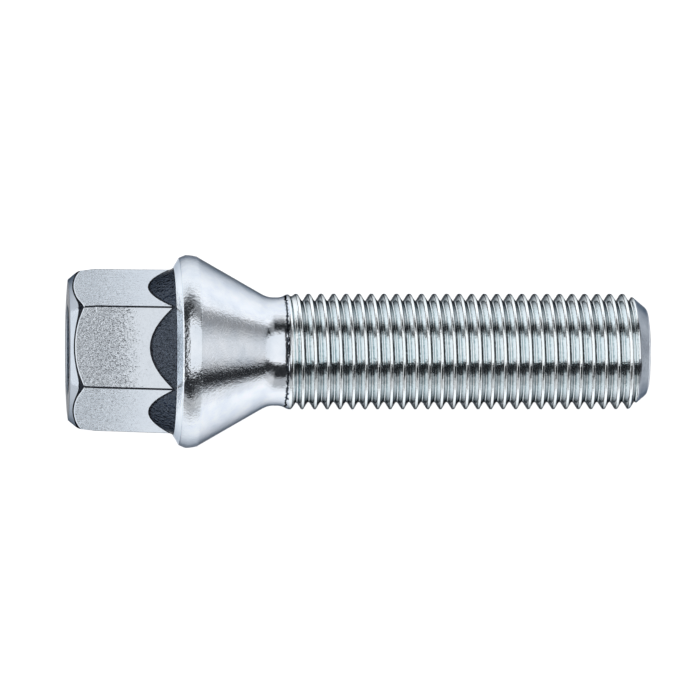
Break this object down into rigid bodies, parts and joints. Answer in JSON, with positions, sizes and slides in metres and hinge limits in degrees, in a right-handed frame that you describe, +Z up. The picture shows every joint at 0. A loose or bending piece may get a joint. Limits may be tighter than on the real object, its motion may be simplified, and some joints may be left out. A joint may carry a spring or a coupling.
{
  "type": "wheel bolt",
  "caption": "Hexagon-head wheel bolt with a round collar, a cone seat, a short neck and a fine right-hand thread, lying on its side as it rests.",
  "frame": {"origin": "on the surface that the bolt lies on, at the middle of its bounding box", "axes": "+X from the head towards the tip, level, so the bolt's own axis points about 5 degrees below +X; +Z up, nearly square to the upper wrench flat"},
  "size_m": [0.07, 0.023, 0.0229],
  "materials": {
    "zinc_plated_steel": "bright zinc plate over forged and rolled steel, slightly blue"
  },
  "bodies": {
    "root": {"wheel_bolt": "zinc_plated_steel"}
  },
  "joints": []
}
